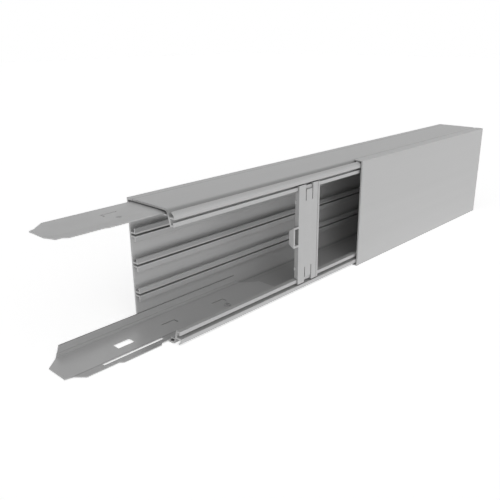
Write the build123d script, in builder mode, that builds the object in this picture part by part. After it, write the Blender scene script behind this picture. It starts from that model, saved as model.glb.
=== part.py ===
"""Wall trunking sample: a slotted aluminium trough, its clip-on cover, a clip and two couplers.

Axes: X along the trough, Y from the open front (-Y) to the wall (+Y), Z up. The origin is on the
floor, in the middle of the whole part's length and depth.
"""
import os

from build123d import *

# Trough, mm
base_length = 604.0
height = 130.0
depth = 70.0
wall = 2.0
shoulder_radius = 5.0
shoulder_from_front = 12.4

# Groove, slot and guide along both front edges of the trough, measured from the cover's front plane
# and from the outer face of the top or bottom wall
stem_foot_from_front = 8.45
stem_foot_from_edge = 15.0
nose_wall = 1.5
nose_from_edge = 7.6
nose_bulge_rise = 3.4
nose_tip_from_front = 6.5
nose_tip_from_edge = 2.15
nose_bulge_radius = 3.0
hook_wall = 1.4
hook_from_front = 4.9
hook_floor_from_edge = 14.45
hook_tip_from_edge = 11.3
guide_wall = 1.5
guide_from_edge = 5.9
guide_reach = 17.5

# Slotted rails on the back wall
rail_count = 3
rail_pitch = 30.0
rail_slot = 2.0
rail_wall = 1.6
rail_depth = 6.9
rail_half_height = 6.6

# Cover
cover_length = 325.5
cover_wall = 2.0
cover_lap_wall = 1.2
cover_gap = 0.5
cover_lap_gap = 0.9
cover_corner_radius = 1.2
cover_leg_play = 0.5
cover_barb_play = 0.4
cover_barb = 1.5
cover_barb_rise = 0.7

# Couplers
coupler_length = 260.0
lower_coupler_reach = 103.8
upper_coupler_reach = 105.5
coupler_wall = 1.0
coupler_gap = 0.8
coupler_play = 0.3
coupler_flange = 13.4
coupler_bend_radius = 4.0
coupler_crease = 26.4
coupler_edge = 17.1
coupler_bulge = 3.4
coupler_swell = 1.2
coupler_bulge_inner = 40.0
coupler_bulge_outer = 83.8
coupler_bulge_slope = 3.0
coupler_nose_back = 53.4
coupler_nose_front = 28.3
coupler_nose_corner = 5.3
coupler_nose_corner_depth = 2.3
coupler_back_chamfer = 10.1
coupler_back_chamfer_depth = 8.9
coupler_flange_foot = 16.2
coupler_flange_chamfer = 18.3
coupler_front_corner = 7.6
coupler_front_chamfer = 14.2
coupler_ear_inner = 10.4
coupler_ear_outer = 4.8
coupler_ear_edge = 20.0
slit_inner = 30.0
slit_outer = 95.3
slit_width = 3.8
window_from_middle = 60.6
window_length = 18.0
window_width = 9.2
window_from_front = 43.2
lance_length = 16.5
lance_depth = 6.0
lance_cut = 1.2
lance_from_front = 46.5
stop_from_middle = 6.2
screw_hole_radius = 2.3
screw_hole_from_middle = 60.6
screw_hole_from_front = 31.0
screw_neck_wall = 0.7
screw_neck_height = 1.8

# Retaining clip
clip_from_end = 166.7
clip_width = 34.5
clip_wall = 1.3
clip_gap = 0.3
clip_slot_play = 0.3
clip_barb = 1.4
tab_slot = 1.4
tab_width = 9.6
tab_slot_length = 12.0
tab_nib = 1.4
tab_nib_length = 4.2
side_flange = 5.2
side_flange_play = 1.0
rib_width = 2.6
rib_rise = 0.4
loop_reach = 8.2
loop_height = 23.0
loop_back_height = 14.4
loop_wall = 2.3
loop_depth = 6.4
nub_height = 4.0
nub_rise = 0.8
nub_depth = 2.0
nub_from_middle = 37.5

near_end = -(base_length - max(lower_coupler_reach, upper_coupler_reach)) / 2
front = -depth / 2
middle = height / 2

# In a section plane the first number is the distance behind the cover's front plane and the second
# the height above or below the middle of the trough.
across = Plane(origin=(near_end, front, middle), x_dir=(0, 1, 0), z_dir=(1, 0, 0))
facing = Plane(origin=(near_end, front, middle), x_dir=(1, 0, 0), z_dir=(0, -1, 0))


def down(from_edge):
    """Height in the section plane of a point this far below the top wall's outer face."""
    return middle - from_edge


def stem_centre(from_edge):
    """Distance behind the front plane of the leaning stem's centre at this depth below the edge."""
    shoulder_drop = wall / 2
    lean = (shoulder_from_front - stem_foot_from_front) / (stem_foot_from_edge - shoulder_drop)
    return shoulder_from_front - lean * (from_edge - shoulder_drop)


def stroke(points, radii, width):
    """Add a strip of this width along a line of points whose corners have these radii."""
    with BuildLine() as path:
        FilletPolyline(*points, radius=radii)
    trace(path.line, line_width=width)


nose_front = cover_wall + cover_gap + nose_wall / 2

with BuildPart() as base_profile:
    with BuildSketch(across):
        stroke(
            [
                (stem_foot_from_front, down(stem_foot_from_edge)),
                (shoulder_from_front, down(wall / 2)),
                (depth - wall / 2, down(wall / 2)),
                (depth - wall / 2, 0),
            ],
            [shoulder_radius, 0],
            wall,
        )
        stroke(
            [
                (stem_centre(nose_from_edge), down(nose_from_edge)),
                (nose_front, down(nose_from_edge)),
                (nose_front, down(nose_from_edge - nose_bulge_rise)),
                (nose_tip_from_front, down(nose_tip_from_edge)),
            ],
            [0, nose_bulge_radius],
            nose_wall,
        )
        stroke(
            [
                (hook_from_front, down(hook_tip_from_edge)),
                (hook_from_front, down(hook_floor_from_edge)),
                (stem_centre(hook_floor_from_edge), down(hook_floor_from_edge)),
            ],
            [0],
            hook_wall,
        )
        with BuildLine():
            Line(
                (stem_centre(guide_from_edge), down(guide_from_edge)),
                (guide_reach, down(guide_from_edge)),
            )
        trace(line_width=guide_wall)
        mirror(about=Plane.XZ)
        for index in range(rail_count):
            rail_height = (index - (rail_count - 1) / 2) * rail_pitch
            for side in (-1, 1):
                leg = rail_height + side * (rail_slot + rail_wall) / 2
                lip_face = depth - wall - rail_depth + rail_wall / 2
                with BuildLine():
                    Polyline(
                        (depth - wall / 2, leg),
                        (lip_face, leg),
                        (lip_face, rail_height + side * rail_half_height),
                    )
                trace(line_width=rail_wall)
    extrude(amount=base_length)
base_profile.part.label = "base_profile"


cover_lap_end = shoulder_from_front - cover_lap_gap
cover_leg = nose_tip_from_front + nose_wall / 2 + cover_leg_play + cover_lap_wall / 2
cover_barb_from_edge = nose_tip_from_edge + nose_wall / 2 + cover_barb_play + cover_lap_wall / 2

with BuildPart() as front_cover:
    with BuildSketch(across.offset(base_length - cover_length)):
        with Locations((cover_wall / 2, middle / 2)):
            Rectangle(cover_wall, middle)
        with Locations((cover_lap_end / 2, down(cover_lap_wall / 2))):
            Rectangle(cover_lap_end, cover_lap_wall)
        stroke(
            [
                (cover_leg, down(cover_lap_wall / 2)),
                (cover_leg, down(cover_barb_from_edge + cover_barb_rise)),
                (cover_leg - cover_barb, down(cover_barb_from_edge)),
            ],
            [0],
            cover_lap_wall,
        )
        mirror(about=Plane.XZ)
    extrude(amount=cover_length)
    fillet(front_cover.edges().filter_by(Axis.X).group_by(Axis.Y)[0], radius=cover_corner_radius)
front_cover.part.label = "front_cover"


clip_plate_front = hook_from_front - hook_wall / 2 - clip_gap - clip_wall
clip_right = clip_from_end + clip_width
clip_middle = clip_from_end + clip_width / 2
ear_from_edge = hook_tip_from_edge - clip_slot_play - clip_wall / 2
hook_floor_face = hook_floor_from_edge + hook_wall / 2
notch_width = tab_width + 2 * tab_slot
tab_end = down(hook_floor_face + clip_gap)
barb_centre = hook_from_front + hook_wall / 2 + clip_gap + clip_wall / 2
flange_top = down(hook_floor_face + side_flange_play)
plate_centre = clip_plate_front + clip_wall / 2

with BuildPart() as retaining_clip:
    with BuildSketch(across.offset(clip_from_end)):
        with BuildLine():
            Polyline(
                (plate_centre, 0),
                (plate_centre, down(ear_from_edge)),
                (barb_centre, down(ear_from_edge)),
                (barb_centre, down(ear_from_edge + clip_barb + clip_wall / 2)),
            )
        trace(line_width=clip_wall)
        mirror(about=Plane.XZ)
    extrude(amount=clip_width)
    # The ears stand on each side of a notch, with a spring tab between two saw cuts under it
    with BuildSketch(facing):
        for side in (-1, 1):
            with Locations((clip_middle, side * (tab_end + middle) / 2)):
                Rectangle(notch_width, middle - tab_end)
            for edge in (-1, 1):
                with Locations((clip_middle + edge * (tab_width + tab_slot) / 2,
                                side * (tab_end - tab_slot_length / 2))):
                    Rectangle(tab_slot, tab_slot_length)
    extrude(amount=-depth / 2, mode=Mode.SUBTRACT)
    with BuildSketch(across.offset(clip_middle - tab_width / 2)):
        for side in (-1, 1):
            with BuildLine():
                Polyline(
                    (plate_centre, side * tab_end),
                    (plate_centre + tab_nib, side * tab_end),
                    (plate_centre, side * (tab_end - tab_nib_length)),
                    close=True,
                )
            make_face()
    extrude(amount=tab_width)
    # Side flanges, a raised strip by the right edge and two nubs on the left flange
    with BuildSketch(facing.offset(-clip_plate_front)):
        for edge in (clip_from_end + clip_wall / 2, clip_right - clip_wall / 2):
            with Locations((edge, 0)):
                Rectangle(clip_wall, 2 * flange_top)
    extrude(amount=-side_flange)
    with BuildSketch(facing.offset(-clip_plate_front)):
        with Locations((clip_right - rib_width / 2, 0)):
            Rectangle(rib_width, 2 * down(ear_from_edge))
    extrude(amount=rib_rise)
    with BuildSketch(facing.offset(-clip_plate_front - side_flange + nub_depth)):
        for side in (-1, 1):
            with Locations((clip_from_end, side * nub_from_middle)):
                Rectangle(2 * nub_rise, nub_height)
    extrude(amount=-nub_depth)
    # The loop: a ring beside the plate, whose outer side narrows towards the back
    with BuildSketch(across.offset(clip_from_end - loop_reach)):
        with BuildLine():
            Polyline(
                (clip_plate_front, loop_height / 2),
                (clip_plate_front + loop_depth, loop_back_height / 2),
                (clip_plate_front + loop_depth, -loop_back_height / 2),
                (clip_plate_front, -loop_height / 2),
                close=True,
            )
        make_face()
    extrude(amount=loop_reach)
    with BuildSketch(facing):
        with Locations((clip_from_end - (loop_reach - loop_wall) / 2, 0)):
            Rectangle(loop_reach - loop_wall, loop_height - 2 * loop_wall)
    extrude(amount=-depth / 2, mode=Mode.SUBTRACT)
retaining_clip.part.label = "retaining_clip"


half = coupler_length / 2
sheet = coupler_wall / 2
flange_centre = depth - wall - sheet
bulge_edge = coupler_edge - coupler_bulge
# The spring strip rises from the crease to run just under the guide. It is drawn longer than the
# outline leaves it.
strip_lift = guide_from_edge - guide_wall / 2 - coupler_play - wall - coupler_gap - coupler_wall
strip_start = bulge_edge - coupler_wall
strip_start_lift = strip_lift * (coupler_crease - strip_start) / (coupler_crease - bulge_edge)
flange_height = coupler_flange - wall - coupler_gap
# Where the screw hole's end tapers back to the flange
taper_start = half - coupler_nose_corner


def make_coupler(seat):
    """One coupler sheet lying on a seat plane whose Z points into the trough."""
    section = Plane(seat.from_local_coords((-half, 0, 0)), x_dir=seat.y_dir, z_dir=seat.x_dir)
    with BuildPart() as coupler:
        with BuildSketch(section):
            stroke(
                [
                    (strip_start, sheet + strip_start_lift),
                    (coupler_crease, sheet),
                    (flange_centre, sheet),
                    (flange_centre, flange_height),
                ],
                [0, coupler_bend_radius],
                coupler_wall,
            )
        extrude(amount=coupler_length)
        # The blank's outline: along the strip's front edge, then back along the flange
        with BuildSketch(seat):
            with BuildLine():
                Polyline(
                    (-half, coupler_nose_front),
                    (-half + coupler_front_corner, coupler_crease),
                    (-half + coupler_front_chamfer, coupler_edge),
                    (-coupler_bulge_outer, coupler_edge),
                    (-coupler_bulge_outer + coupler_bulge_slope, bulge_edge),
                    (-coupler_bulge_inner, bulge_edge),
                    (-coupler_bulge_inner + coupler_bulge_slope, coupler_edge),
                    (-coupler_bulge_slope, coupler_edge),
                    (0, coupler_edge - coupler_swell),
                    (coupler_bulge_outer - coupler_bulge_slope, coupler_edge - coupler_swell),
                    (coupler_bulge_outer, coupler_edge),
                    (half - coupler_front_chamfer, coupler_edge),
                    (half - coupler_ear_inner, coupler_ear_edge),
                    (half - coupler_ear_outer, coupler_ear_edge),
                    (half, coupler_nose_front),
                    (half, coupler_nose_back - coupler_nose_corner_depth),
                    (taper_start, coupler_nose_back),
                    (taper_start - coupler_back_chamfer, coupler_nose_back + coupler_back_chamfer_depth),
                    (taper_start - coupler_flange_foot, depth - wall),
                    (-half + coupler_flange_foot, depth - wall),
                    (-half + coupler_back_chamfer, coupler_nose_back + coupler_back_chamfer_depth),
                    (-half, coupler_nose_back),
                    close=True,
                )
            make_face()
        extrude(amount=coupler_flange, mode=Mode.INTERSECT)
        # The flange's ends lean in towards its top
        with BuildSketch(Plane(seat.from_local_coords((0, depth, 0)), x_dir=seat.x_dir, z_dir=-seat.y_dir)):
            for end, start in ((-1, half), (1, taper_start)):
                with BuildLine():
                    Polyline(
                        (end * (start - coupler_flange_foot), coupler_bend_radius),
                        (end * (start - coupler_flange_chamfer), flange_height),
                        (end * half, flange_height),
                        (end * half, coupler_bend_radius),
                        close=True,
                    )
                make_face()
        extrude(amount=depth - coupler_nose_back, mode=Mode.SUBTRACT)
        # A plunged screw hole at one end, the spring slit and a window at the other
        with BuildSketch(seat):
            with Locations((screw_hole_from_middle, screw_hole_from_front)):
                Circle(screw_hole_radius + screw_neck_wall)
        extrude(amount=coupler_wall + screw_neck_height)
        with BuildSketch(seat):
            with Locations((screw_hole_from_middle, screw_hole_from_front)):
                Circle(screw_hole_radius)
            with Locations((-(slit_inner + slit_outer) / 2, coupler_crease - slit_width / 2)):
                Rectangle(slit_outer - slit_inner, slit_width)
            with Locations((-window_from_middle, window_from_front)):
                Rectangle(window_length, window_width)
        extrude(amount=coupler_wall + screw_neck_height, mode=Mode.SUBTRACT)
        # Two lanced tabs, cut free along their back and on one side
        with BuildSketch(seat):
            for along in (-stop_from_middle, window_from_middle):
                with Locations((along, lance_from_front)):
                    Rectangle(lance_length, lance_cut)
                with Locations((along + (lance_length - lance_cut) / 2, lance_from_front - lance_depth / 2)):
                    Rectangle(lance_cut, lance_depth)
        extrude(amount=coupler_wall, mode=Mode.SUBTRACT)
    return coupler.part


lower_middle = near_end - lower_coupler_reach + half
upper_middle = near_end - upper_coupler_reach + half
sheet_from_edge = wall + coupler_gap
lower_seat = Plane(origin=(lower_middle, front, sheet_from_edge), x_dir=(1, 0, 0), z_dir=(0, 0, 1))
upper_seat = Plane(origin=(upper_middle, front, height - sheet_from_edge), x_dir=(-1, 0, 0), z_dir=(0, 0, -1))
lower_coupler = make_coupler(lower_seat)
lower_coupler.label = "lower_coupler"
upper_coupler = make_coupler(upper_seat)
upper_coupler.label = "upper_coupler"

pieces = [base_profile.part, front_cover.part, retaining_clip.part, lower_coupler, upper_coupler]
os.makedirs("parts", exist_ok=True)
for piece in pieces:
    export_step(piece, f"parts/{piece.label}.step")
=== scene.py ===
"""Looks of the wall trunking sample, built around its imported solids. Lengths are in metres."""
import math
from collections import namedtuple

import bpy
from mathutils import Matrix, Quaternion, Vector


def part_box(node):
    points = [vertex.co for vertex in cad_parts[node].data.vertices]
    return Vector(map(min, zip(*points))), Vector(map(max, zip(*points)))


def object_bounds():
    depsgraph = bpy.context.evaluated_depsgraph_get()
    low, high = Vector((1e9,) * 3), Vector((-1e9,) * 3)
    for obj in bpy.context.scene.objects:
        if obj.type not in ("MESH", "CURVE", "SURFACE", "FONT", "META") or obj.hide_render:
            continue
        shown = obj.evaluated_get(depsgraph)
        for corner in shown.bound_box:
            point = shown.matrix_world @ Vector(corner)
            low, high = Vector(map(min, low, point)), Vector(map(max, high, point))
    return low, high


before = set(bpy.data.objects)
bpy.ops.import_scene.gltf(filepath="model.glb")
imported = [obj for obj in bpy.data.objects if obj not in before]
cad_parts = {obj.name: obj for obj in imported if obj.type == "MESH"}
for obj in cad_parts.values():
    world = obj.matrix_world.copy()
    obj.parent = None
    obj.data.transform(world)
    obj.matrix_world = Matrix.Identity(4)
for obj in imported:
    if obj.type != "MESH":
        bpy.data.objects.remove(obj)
cad_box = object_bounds()
low = Vector(cad_box[0])
high = Vector(cad_box[1])
middle_height = (low.z + high.z) / 2
half_height = (high.z - low.z) / 2

trough_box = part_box("base_profile")
near_end = trough_box[0][0]
wall_side = trough_box[1][1]

# The photograph's camera, measured from the trough's near end and wall side and the part's foot
CAMERA_PLACE = Vector((near_end - 0.30955, wall_side - 0.45017, low.z + 0.27041))
CAMERA_YAW = math.radians(46.345)
CAMERA_PITCH = math.radians(19.832)
CAMERA_ROLL = math.radians(-0.593)
CAMERA_ANGLE = math.radians(45.0)
CAMERA_NEAREST = 0.01

# Light from the sky: an even part and two soft patches, one high in front and one by the couplers'
# corner, each with its direction, sharpness and level
SKY_EVEN = 0.24
HIGH_PATCH = ((-0.3, -0.7, 0.65), 8.0, 1.18)
CORNER_PATCH = ((-0.7, -0.6, 0.4), 8.0, 0.68)

# The floor, its glow towards the object and its lift to white where it is seen directly
FLOOR_SIZE = 12
FLOOR_GAP = 0.0002
FLOOR_COLOUR = (0.9, 0.9, 0.9, 1)
FLOOR_GLOW = 0.46
FLOOR_LIFT = 0.6
WHITE = (1, 1, 1, 1)

# Grey tone and roughness of each finish, and how much of a metal the aluminium is taken to be
TROUGH_METAL = (0.55, 0.45)
COVER_METAL = (0.54, 0.42)
COUPLER_METAL = (0.545, 0.4)
CLIP_PLASTIC = (0.56, 0.55)
METAL_SHARE = 0.15

# Noises: cells per metre along X, Y and Z, detail, and how far they sway the tone and the roughness
Noise = namedtuple("Noise", "cells detail tone roughness", defaults=(None,))
DIE_LINES = Noise((5.0, 1100.0, 1100.0), 3.0, 0.012, 0.05)
DIE_BANDS = Noise((0.8, 70.0, 70.0), 2.0, 0.01)
MARKS = Noise((220.0, 220.0, 220.0), 4.0, 0.006, 0.03)
ROLLING_LINES = Noise((14.0, 1700.0, 1700.0), 3.0, 0.012, 0.06)
SMUDGES = Noise((38.0, 55.0, 55.0), 3.0, 0.015, 0.05)
MOULD_GRAIN = Noise((2600.0, 2600.0, 2600.0), 2.0, 0.015, 0.06)
CLOUDS = Noise((90.0, 90.0, 90.0), 2.0, 0.015)

# Stretches of a noise over which it sways a value from one side to the other
WIDE_SWING = (0.3, 0.7)
MARK_SWING = (0.35, 0.65)

# What corners add to the tone: on metal the stretch of its noise, then the least and the most
EXTRUDED_CORNERS = (0.4, 0.6, 0.02, 0.09)
ROLLED_CORNERS = (0.35, 0.65, 0.02, 0.1)
MOULDED_CORNERS = 0.05

# Heights of the finest relief
DIE_LINE_HEIGHT = 0.000012
ROLLING_LINE_HEIGHT = 0.000008
GRAIN_HEIGHT = 0.00003

# The radius that corners seem to have, and where their mask rises as the softened normal turns away
# from the true one, as cosines
CORNER_RADIUS = 0.0004
CORNER_TURN = (0.99, 0.85)
CORNER_SAMPLES = 6
RELIEF_SAMPLES = 4

# Painted shade in grooves and inner corners. From shut in to open, by how much is open within the
# reach
OPENNESS_REACH = 0.004
OPENNESS = (0.1, 0.85)
OPENNESS_SAMPLES = 8

# Painted shade: tone in grooves and at the places below, as a share of the open surface's. The upper
# lips' goes from the lowest rail to the highest, and the bend's from the steep part to the flat one.
METAL_PAINTED_GROOVE_SHADE = 0.68
SHEET_PAINTED_GROOVE_SHADE = 0.4
CLIP_PAINTED_GROOVE_SHADE = 0.2
UPPER_LIP_PAINTED_SHADE = (0.9, 0.58)
LOWER_LIP_PAINTED_SHADE = 0.88
SHOULDER_PAINTED_SHADE = 0.63
INNER_FLOOR_PAINTED_SHADE = 0.82
CREASE_PAINTED_SHADE = 0.65
SPRING_STRIP_PAINTED_SHADE = 0.9
BEND_PAINTED_SHADE = (0.7, 0.86)
FLANGE_PAINTED_SHADE = 0.97
FLANGE_RIM_PAINTED_SHADOW = 0.55
CLIP_FLANGE_PAINTED_SHADE = 0.82
LOOP_HOLE_PAINTED_SHADE = 0.6

# Where those places are. Four measures say where a mask starts to rise, is full, starts to fall and
# has gone, and two say it for a rise or a fall alone. First up from each rail's middle:
RAIL_PITCH = 0.03
UPPER_LIP = (0.0024, 0.0026, 0.0068, 0.007)
LOWER_LIP = (-0.007, -0.0068, -0.0024, -0.0022)

# Behind the part's front
LIP_FACE = (0.0606, 0.0608, 0.0614, 0.0616)
SHOULDER_BEHIND = (0.0065, 0.0085, 0.0135, 0.0155)
INNER_BEHIND = (0.0175, 0.018, 0.0682, 0.0687)
CREASE = (0.0253, 0.026, 0.0268, 0.0275)
SPRING_STRIP = (0.026, 0.0264)

# In from the part's top or foot, up from its foot, and up or down from its middle
SHOULDER_DEPTH = (0.0001, 0.0016, 0.006, 0.0075)
FLANGE_RIM = (0.0129, 0.0132)
INNER_FLOOR = (0.0015, 0.0019, 0.0025, 0.006)
LOOP_HOLE = (0.0092, 0.0095)

# Along from the trough's near end
CLIP_FLANGE = (0.1663, 0.1664, 0.167, 0.1671)

# By the Z of a face's normal: a coupler's inner face, and its bend from steep to flat
INNER_FACE = (0.8, 0.95)
BEND_LEVEL = (0.3, 0.9)

# By the smaller of its Y and Z: a coupler's bend. By its Y: a coupler's flange. By its X: the clip's
BEND_SLANT = (0.1, 0.25)
FLANGE_FACE = (-0.99, -0.95)
CLIP_FACE = (-0.95, -0.85)


def add_camera():
    """The photograph's view: looking along the trough from its open end, a little from above."""
    data = bpy.data.cameras.new("camera")
    data.sensor_fit = "HORIZONTAL"
    data.angle = CAMERA_ANGLE
    data.clip_start = CAMERA_NEAREST
    camera = bpy.data.objects.new("camera", data)
    level = math.cos(CAMERA_PITCH)
    along = math.sin(CAMERA_YAW) * level
    inward = math.cos(CAMERA_YAW) * level
    towards = Vector((along, inward, -math.sin(CAMERA_PITCH)))
    roll = Quaternion((0, 0, 1), CAMERA_ROLL)
    camera.location = CAMERA_PLACE
    camera.rotation_mode = "QUATERNION"
    camera.rotation_quaternion = towards.to_track_quat("-Z", "Y") @ roll
    bpy.context.collection.objects.link(camera)
    bpy.context.scene.camera = camera


class Nodes:
    """A node tree, with short ways to add nodes to it and to join them."""

    def __init__(self, tree):
        self.tree = tree

    def add(self, kind, **values):
        """A new node with its settings."""
        node = self.tree.nodes.new(kind)
        for key, value in values.items():
            setattr(node, key, value)
        return node

    def feed(self, value, socket):
        """Join an output to a socket, or write a plain value into it."""
        if isinstance(value, bpy.types.NodeSocket):
            self.tree.links.new(value, socket)
        else:
            socket.default_value = value

    def combine(self, operation, value, *others):
        """The value after one operation, such as ADD, with each of the others in turn."""
        for other in others or (0.0,):
            node = self.add("ShaderNodeMath", operation=operation)
            self.feed(value, node.inputs[0])
            self.feed(other, node.inputs[1])
            value = node.outputs[0]
        return value

    def spread(self, value, low_in, high_in, low_out, high_out):
        """A value moved from one range to another and held inside it."""
        node = self.add("ShaderNodeMapRange")
        self.feed(value, node.inputs["Value"])
        self.feed(low_in, node.inputs["From Min"])
        self.feed(high_in, node.inputs["From Max"])
        self.feed(low_out, node.inputs["To Min"])
        self.feed(high_out, node.inputs["To Max"])
        return node.outputs["Result"]

    def seen_directly(self):
        """1 for camera, glossy and transmission rays, 0 for the light that falls on the object."""
        path = self.add("ShaderNodeLightPath")
        kinds = ("Is Camera Ray", "Is Glossy Ray", "Is Transmission Ray")
        return self.combine("MAXIMUM", *(path.outputs[kind] for kind in kinds))


class Shading(Nodes):
    """A material, with the places, noises and masks that its tone is made of."""

    def __init__(self, name, metallic=0.0):
        self.material = bpy.data.materials.new(name)
        self.material.use_nodes = True
        super().__init__(self.material.node_tree)
        self.shader = self.tree.nodes["Principled BSDF"]
        self.geometry = self.add("ShaderNodeNewGeometry")
        self.give("Metallic", metallic)

    def give(self, name, value):
        """Set one of the shader's sockets, or join an output to it."""
        self.feed(value, self.shader.inputs[name])

    def split(self, output):
        """The X, Y and Z of the place or of a normal."""
        node = self.add("ShaderNodeSeparateXYZ")
        self.feed(self.geometry.outputs[output], node.inputs["Vector"])
        return node.outputs

    def behind(self):
        """How far the place lies behind the part's front."""
        return self.combine("SUBTRACT", self.split("Position")["Y"], low.y)

    def above_foot(self):
        """How far the place lies above the part's foot."""
        return self.combine("SUBTRACT", self.split("Position")["Z"], low.z)

    def above_middle(self):
        """How far the place lies above the part's middle height, or below it as a minus."""
        return self.combine("SUBTRACT", self.split("Position")["Z"], middle_height)

    def off_middle(self):
        """How far the place lies from the part's middle height, up or down."""
        return self.combine("ABSOLUTE", self.above_middle())

    def wall_depth(self):
        """How far the place lies below the part's top or above its foot, whichever is nearer."""
        return self.combine("SUBTRACT", half_height, self.off_middle())

    def from_rail(self):
        """How far the place lies above the nearest rail's middle, or below it as a minus."""
        node = self.add("ShaderNodeMath", operation="WRAP")
        self.feed(self.above_middle(), node.inputs[0])
        self.feed(RAIL_PITCH / 2, node.inputs[1])
        self.feed(-RAIL_PITCH / 2, node.inputs[2])
        return node.outputs[0]

    def noise(self, kind):
        """A noise of the given kind, fixed to the part."""
        mapping = self.add("ShaderNodeMapping")
        self.feed(self.geometry.outputs["Position"], mapping.inputs["Vector"])
        self.feed(kind.cells, mapping.inputs["Scale"])
        texture = self.add("ShaderNodeTexNoise")
        self.feed(mapping.outputs["Vector"], texture.inputs["Vector"])
        self.feed(1.0, texture.inputs["Scale"])
        self.feed(kind.detail, texture.inputs["Detail"])
        return texture.outputs["Fac"]

    def sway(self, noise, amount, centre=0.0, swing=WIDE_SWING):
        """A value that a noise sways to both sides of its centre."""
        return self.spread(noise, *swing, centre - amount, centre + amount)

    def softened_normal(self, samples):
        """The normal as if the part's corners had a small radius."""
        bevel = self.add("ShaderNodeBevel", samples=samples)
        self.feed(CORNER_RADIUS, bevel.inputs["Radius"])
        return bevel.outputs["Normal"]

    def corners(self):
        """1 on the corners of the part, 0 on its flats."""
        dot = self.add("ShaderNodeVectorMath", operation="DOT_PRODUCT")
        self.feed(self.softened_normal(CORNER_SAMPLES), dot.inputs[0])
        self.feed(self.geometry.outputs["True Normal"], dot.inputs[1])
        return self.rise(dot.outputs["Value"], CORNER_TURN)

    def painted_groove_shade(self, darkest_share):
        """Painted shade: 1 in open places, down to the darkest share of the tone in grooves and
        inner corners.
        """
        shade = self.add("ShaderNodeAmbientOcclusion", samples=OPENNESS_SAMPLES)
        self.feed(OPENNESS_REACH, shade.inputs["Distance"])
        return self.spread(shade.outputs["AO"], *OPENNESS, darkest_share, 1.0)

    def rise(self, value, ramp):
        """0 up to the ramp's first measure and 1 from its second."""
        return self.spread(value, *ramp, 0.0, 1.0)

    def fall(self, value, ramp):
        """1 up to the ramp's first measure and 0 from its second."""
        return self.spread(value, *ramp, 1.0, 0.0)

    def between(self, value, span):
        """1 inside a span of four measures and 0 outside it."""
        return self.combine("MULTIPLY", self.rise(value, span[:2]), self.fall(value, span[2:]))

    def with_painted_shade(self, tone, painted_shade_strips):
        """The tone with shade painted in: cut to a share of itself where each mask is 1."""
        for mask, share in painted_shade_strips:
            tone = self.combine("MULTIPLY", tone, self.spread(mask, 0.0, 1.0, 1.0, share))
        return tone

    def finish(self, tone, roughness, relief, height):
        """The material with its grey tone, roughness and relief, and with softened corners."""
        colour = self.add("ShaderNodeCombineColor")
        for channel in colour.inputs:
            self.feed(tone, channel)
        bump = self.add("ShaderNodeBump")
        self.feed(1.0, bump.inputs["Strength"])
        self.feed(height, bump.inputs["Distance"])
        self.feed(relief, bump.inputs["Height"])
        self.feed(self.softened_normal(RELIEF_SAMPLES), bump.inputs["Normal"])
        self.give("Base Color", colour.outputs["Color"])
        self.give("Roughness", roughness)
        self.give("Normal", bump.outputs["Normal"])
        return self.material


def trough_painted_shade_strips(look):
    """Where the trough gets painted shade: on its rails' lips, on its shoulders' fronts and on its
    inner floor.
    """
    behind = look.behind()
    from_rail = look.from_rail()
    lip_face = look.between(behind, LIP_FACE)
    upper_lip, lower_lip = (
        look.combine("MULTIPLY", look.between(from_rail, lip), lip_face)
        for lip in (UPPER_LIP, LOWER_LIP)
    )
    # Painted shade on the upper lips, deeper on the higher rails
    upper_lip_painted_shade = look.spread(look.above_middle(), -RAIL_PITCH, RAIL_PITCH, *UPPER_LIP_PAINTED_SHADE)
    # Painted shade along the groove at the shoulders' fronts
    shoulder = look.combine(
        "MULTIPLY",
        look.between(look.wall_depth(), SHOULDER_DEPTH),
        look.between(behind, SHOULDER_BEHIND),
    )
    # Painted shade on the inner floor
    inner_floor = look.combine(
        "MULTIPLY",
        look.between(look.above_foot(), INNER_FLOOR),
        look.between(behind, INNER_BEHIND),
    )
    return (
        (upper_lip, upper_lip_painted_shade),
        (lower_lip, LOWER_LIP_PAINTED_SHADE),
        (shoulder, SHOULDER_PAINTED_SHADE),
        (inner_floor, INNER_FLOOR_PAINTED_SHADE),
    )


def coupler_painted_shade_strips(look, facing):
    """A coupler's painted shade: on its inner face a dark line along the crease and a darker spring
    strip, then shade on its bend and on its front-facing flange, and a painted shadow on the
    flange's rim. Facing is 1 where the inner face looks up, -1 where down."""
    behind = look.behind()
    normal = look.split("True Normal")
    level = look.combine("ABSOLUTE", normal["Z"])
    inner = look.rise(look.combine("MULTIPLY", normal["Z"], facing), INNER_FACE)
    # Painted shade: a dark line along the crease and a darker spring strip on the inner face
    crease = look.combine("MULTIPLY", look.between(behind, CREASE), inner)
    spring_strip = look.combine("MULTIPLY", look.fall(behind, SPRING_STRIP), inner)
    # Painted shade on the bend, by how steep it is, and on the front-facing flange, and a painted
    # shadow on the flange's rim
    lean = look.combine("MINIMUM", look.combine("ABSOLUTE", normal["Y"]), level)
    return (
        (crease, CREASE_PAINTED_SHADE),
        (spring_strip, SPRING_STRIP_PAINTED_SHADE),
        (look.rise(lean, BEND_SLANT), look.spread(level, *BEND_LEVEL, *BEND_PAINTED_SHADE)),
        (look.fall(normal["Y"], FLANGE_FACE), FLANGE_PAINTED_SHADE),
        (look.rise(look.wall_depth(), FLANGE_RIM), FLANGE_RIM_PAINTED_SHADOW),
    )


def clip_painted_shade_strips(look):
    """The clip's painted shade: on its flange towards the near end, and deeper in the hole of the
    loop there.
    """
    along = look.combine("SUBTRACT", look.split("Position")["X"], near_end)
    # Painted shade on the flange towards the near end, and deeper in the loop's hole
    flange = look.combine(
        "MULTIPLY",
        look.between(along, CLIP_FLANGE),
        look.fall(look.split("True Normal")["X"], CLIP_FACE),
    )
    hole = look.combine("MULTIPLY", flange, look.fall(look.off_middle(), LOOP_HOLE))
    return (
        (flange, CLIP_FLANGE_PAINTED_SHADE),
        (hole, LOOP_HOLE_PAINTED_SHADE),
    )


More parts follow.
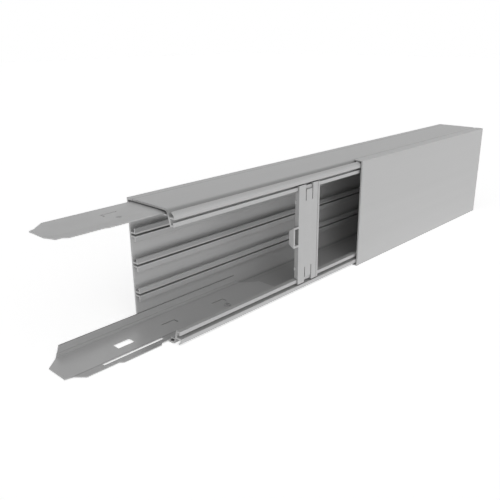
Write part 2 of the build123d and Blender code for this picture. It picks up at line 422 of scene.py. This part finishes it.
def extruded(name, grey, roughness, painted_shade_strips=None):
    """Satin aluminium with fine die lines along X and brighter corners, with painted shade in
    grooves and at any places given.
    """
    look = Shading(name, METAL_SHARE)
    lines = look.noise(DIE_LINES)
    marks = look.noise(MARKS)
    tone = look.combine(
        "ADD",
        look.sway(lines, DIE_LINES.tone),
        look.sway(look.noise(DIE_BANDS), DIE_BANDS.tone, 1.0),
        look.sway(marks, MARKS.tone, 0.0, MARK_SWING),
        look.combine("MULTIPLY", look.corners(), look.spread(marks, *EXTRUDED_CORNERS)),
    )
    # Painted shade in grooves and inner corners
    tone = look.combine("MULTIPLY", tone, look.painted_groove_shade(METAL_PAINTED_GROOVE_SHADE), grey)
    # Painted shade at the given places, if any
    if painted_shade_strips:
        tone = look.with_painted_shade(tone, painted_shade_strips(look))
    roughness = look.combine(
        "ADD",
        look.sway(lines, DIE_LINES.roughness),
        look.sway(marks, MARKS.roughness),
        roughness,
    )
    return look.finish(tone, roughness, lines, DIE_LINE_HEIGHT)


def rolled(name, grey, roughness, facing):
    """Cold-rolled aluminium sheet with faint lines along X and smudges, with painted shade in
    grooves, along the crease, on the spring strip, bend and flange, and a painted shadow on the
    flange's rim.
    """
    look = Shading(name, METAL_SHARE)
    lines = look.noise(ROLLING_LINES)
    smudges = look.noise(SMUDGES)
    tone = look.combine(
        "ADD",
        look.sway(lines, ROLLING_LINES.tone),
        look.sway(smudges, SMUDGES.tone, 1.0),
        look.combine("MULTIPLY", look.corners(), look.spread(smudges, *ROLLED_CORNERS)),
    )
    # Painted shade in grooves and inner corners
    tone = look.combine("MULTIPLY", tone, look.painted_groove_shade(SHEET_PAINTED_GROOVE_SHADE), grey)
    # Painted shade at the coupler's places
    tone = look.with_painted_shade(tone, coupler_painted_shade_strips(look, facing))
    roughness = look.combine(
        "ADD",
        look.sway(lines, ROLLING_LINES.roughness),
        look.sway(smudges, SMUDGES.roughness),
        roughness,
    )
    return look.finish(tone, roughness, lines, ROLLING_LINE_HEIGHT)


def moulded(name, grey, roughness):
    """Grey plastic with a fine grain and faint clouds, with painted shade in grooves, on the flange
    towards the near end and in the loop's hole.
    """
    look = Shading(name)
    grain = look.noise(MOULD_GRAIN)
    tone = look.combine(
        "ADD",
        look.sway(grain, MOULD_GRAIN.tone),
        look.sway(look.noise(CLOUDS), CLOUDS.tone, 1.0),
        look.combine("MULTIPLY", look.corners(), MOULDED_CORNERS),
    )
    # Painted shade in grooves and inner corners
    tone = look.combine("MULTIPLY", tone, look.painted_groove_shade(CLIP_PAINTED_GROOVE_SHADE), grey)
    # Painted shade at the clip's places
    tone = look.with_painted_shade(tone, clip_painted_shade_strips(look))
    roughness = look.combine("ADD", look.sway(grain, MOULD_GRAIN.roughness), roughness)
    return look.finish(tone, roughness, grain, GRAIN_HEIGHT)


def floor_finish():
    """White paper that keeps the object's shadow."""
    look = Shading("floor_white")
    look.give("Base Color", FLOOR_COLOUR)
    look.give("Roughness", 1.0)
    look.give("Specular IOR Level", 0.0)
    look.give("Emission Color", WHITE)
    glow = look.spread(look.seen_directly(), 0.0, 1.0, FLOOR_GLOW, FLOOR_LIFT)
    look.give("Emission Strength", glow)
    return look.material


def add_world():
    """Soft studio light, a little stronger from the front, and white where it is seen directly."""
    world = bpy.data.worlds.new("studio")
    bpy.context.scene.world = world
    world.use_nodes = True
    sky = Nodes(world.node_tree)
    place = sky.add("ShaderNodeTexCoord")
    light = SKY_EVEN
    for towards, sharpness, strength in (HIGH_PATCH, CORNER_PATCH):
        dot = sky.add("ShaderNodeVectorMath", operation="DOT_PRODUCT")
        sky.feed(place.outputs["Generated"], dot.inputs[0])
        sky.feed(Vector(towards).normalized(), dot.inputs[1])
        patch = sky.combine("POWER", sky.combine("MAXIMUM", dot.outputs["Value"]), sharpness)
        light = sky.combine("ADD", light, sky.combine("MULTIPLY", patch, strength))
    background = sky.tree.nodes["Background"]
    sky.feed(WHITE, background.inputs["Color"])
    level = sky.spread(sky.seen_directly(), 0.0, 1.0, light, 1.0)
    sky.feed(level, background.inputs["Strength"])


def add_floor():
    """A wide pale floor under the part."""
    bpy.ops.mesh.primitive_plane_add(size=FLOOR_SIZE, location=(0, 0, low.z - FLOOR_GAP))
    floor = bpy.context.object
    floor.name = "floor"
    floor.data.materials.append(floor_finish())


bpy.context.scene.view_settings.view_transform = "Standard"
add_camera()
add_world()
add_floor()

finishes = {
    "base_profile": extruded("trough_metal", *TROUGH_METAL, trough_painted_shade_strips),
    "front_cover": extruded("cover_metal", *COVER_METAL),
    "retaining_clip": moulded("clip_plastic", *CLIP_PLASTIC),
    "upper_coupler": rolled("coupler_metal_upper", *COUPLER_METAL, facing=-1.0),
    "lower_coupler": rolled("coupler_metal_lower", *COUPLER_METAL, facing=1.0),
}
for name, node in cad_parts.items():
    node.data.materials.clear()
    node.data.materials.append(finishes[name])
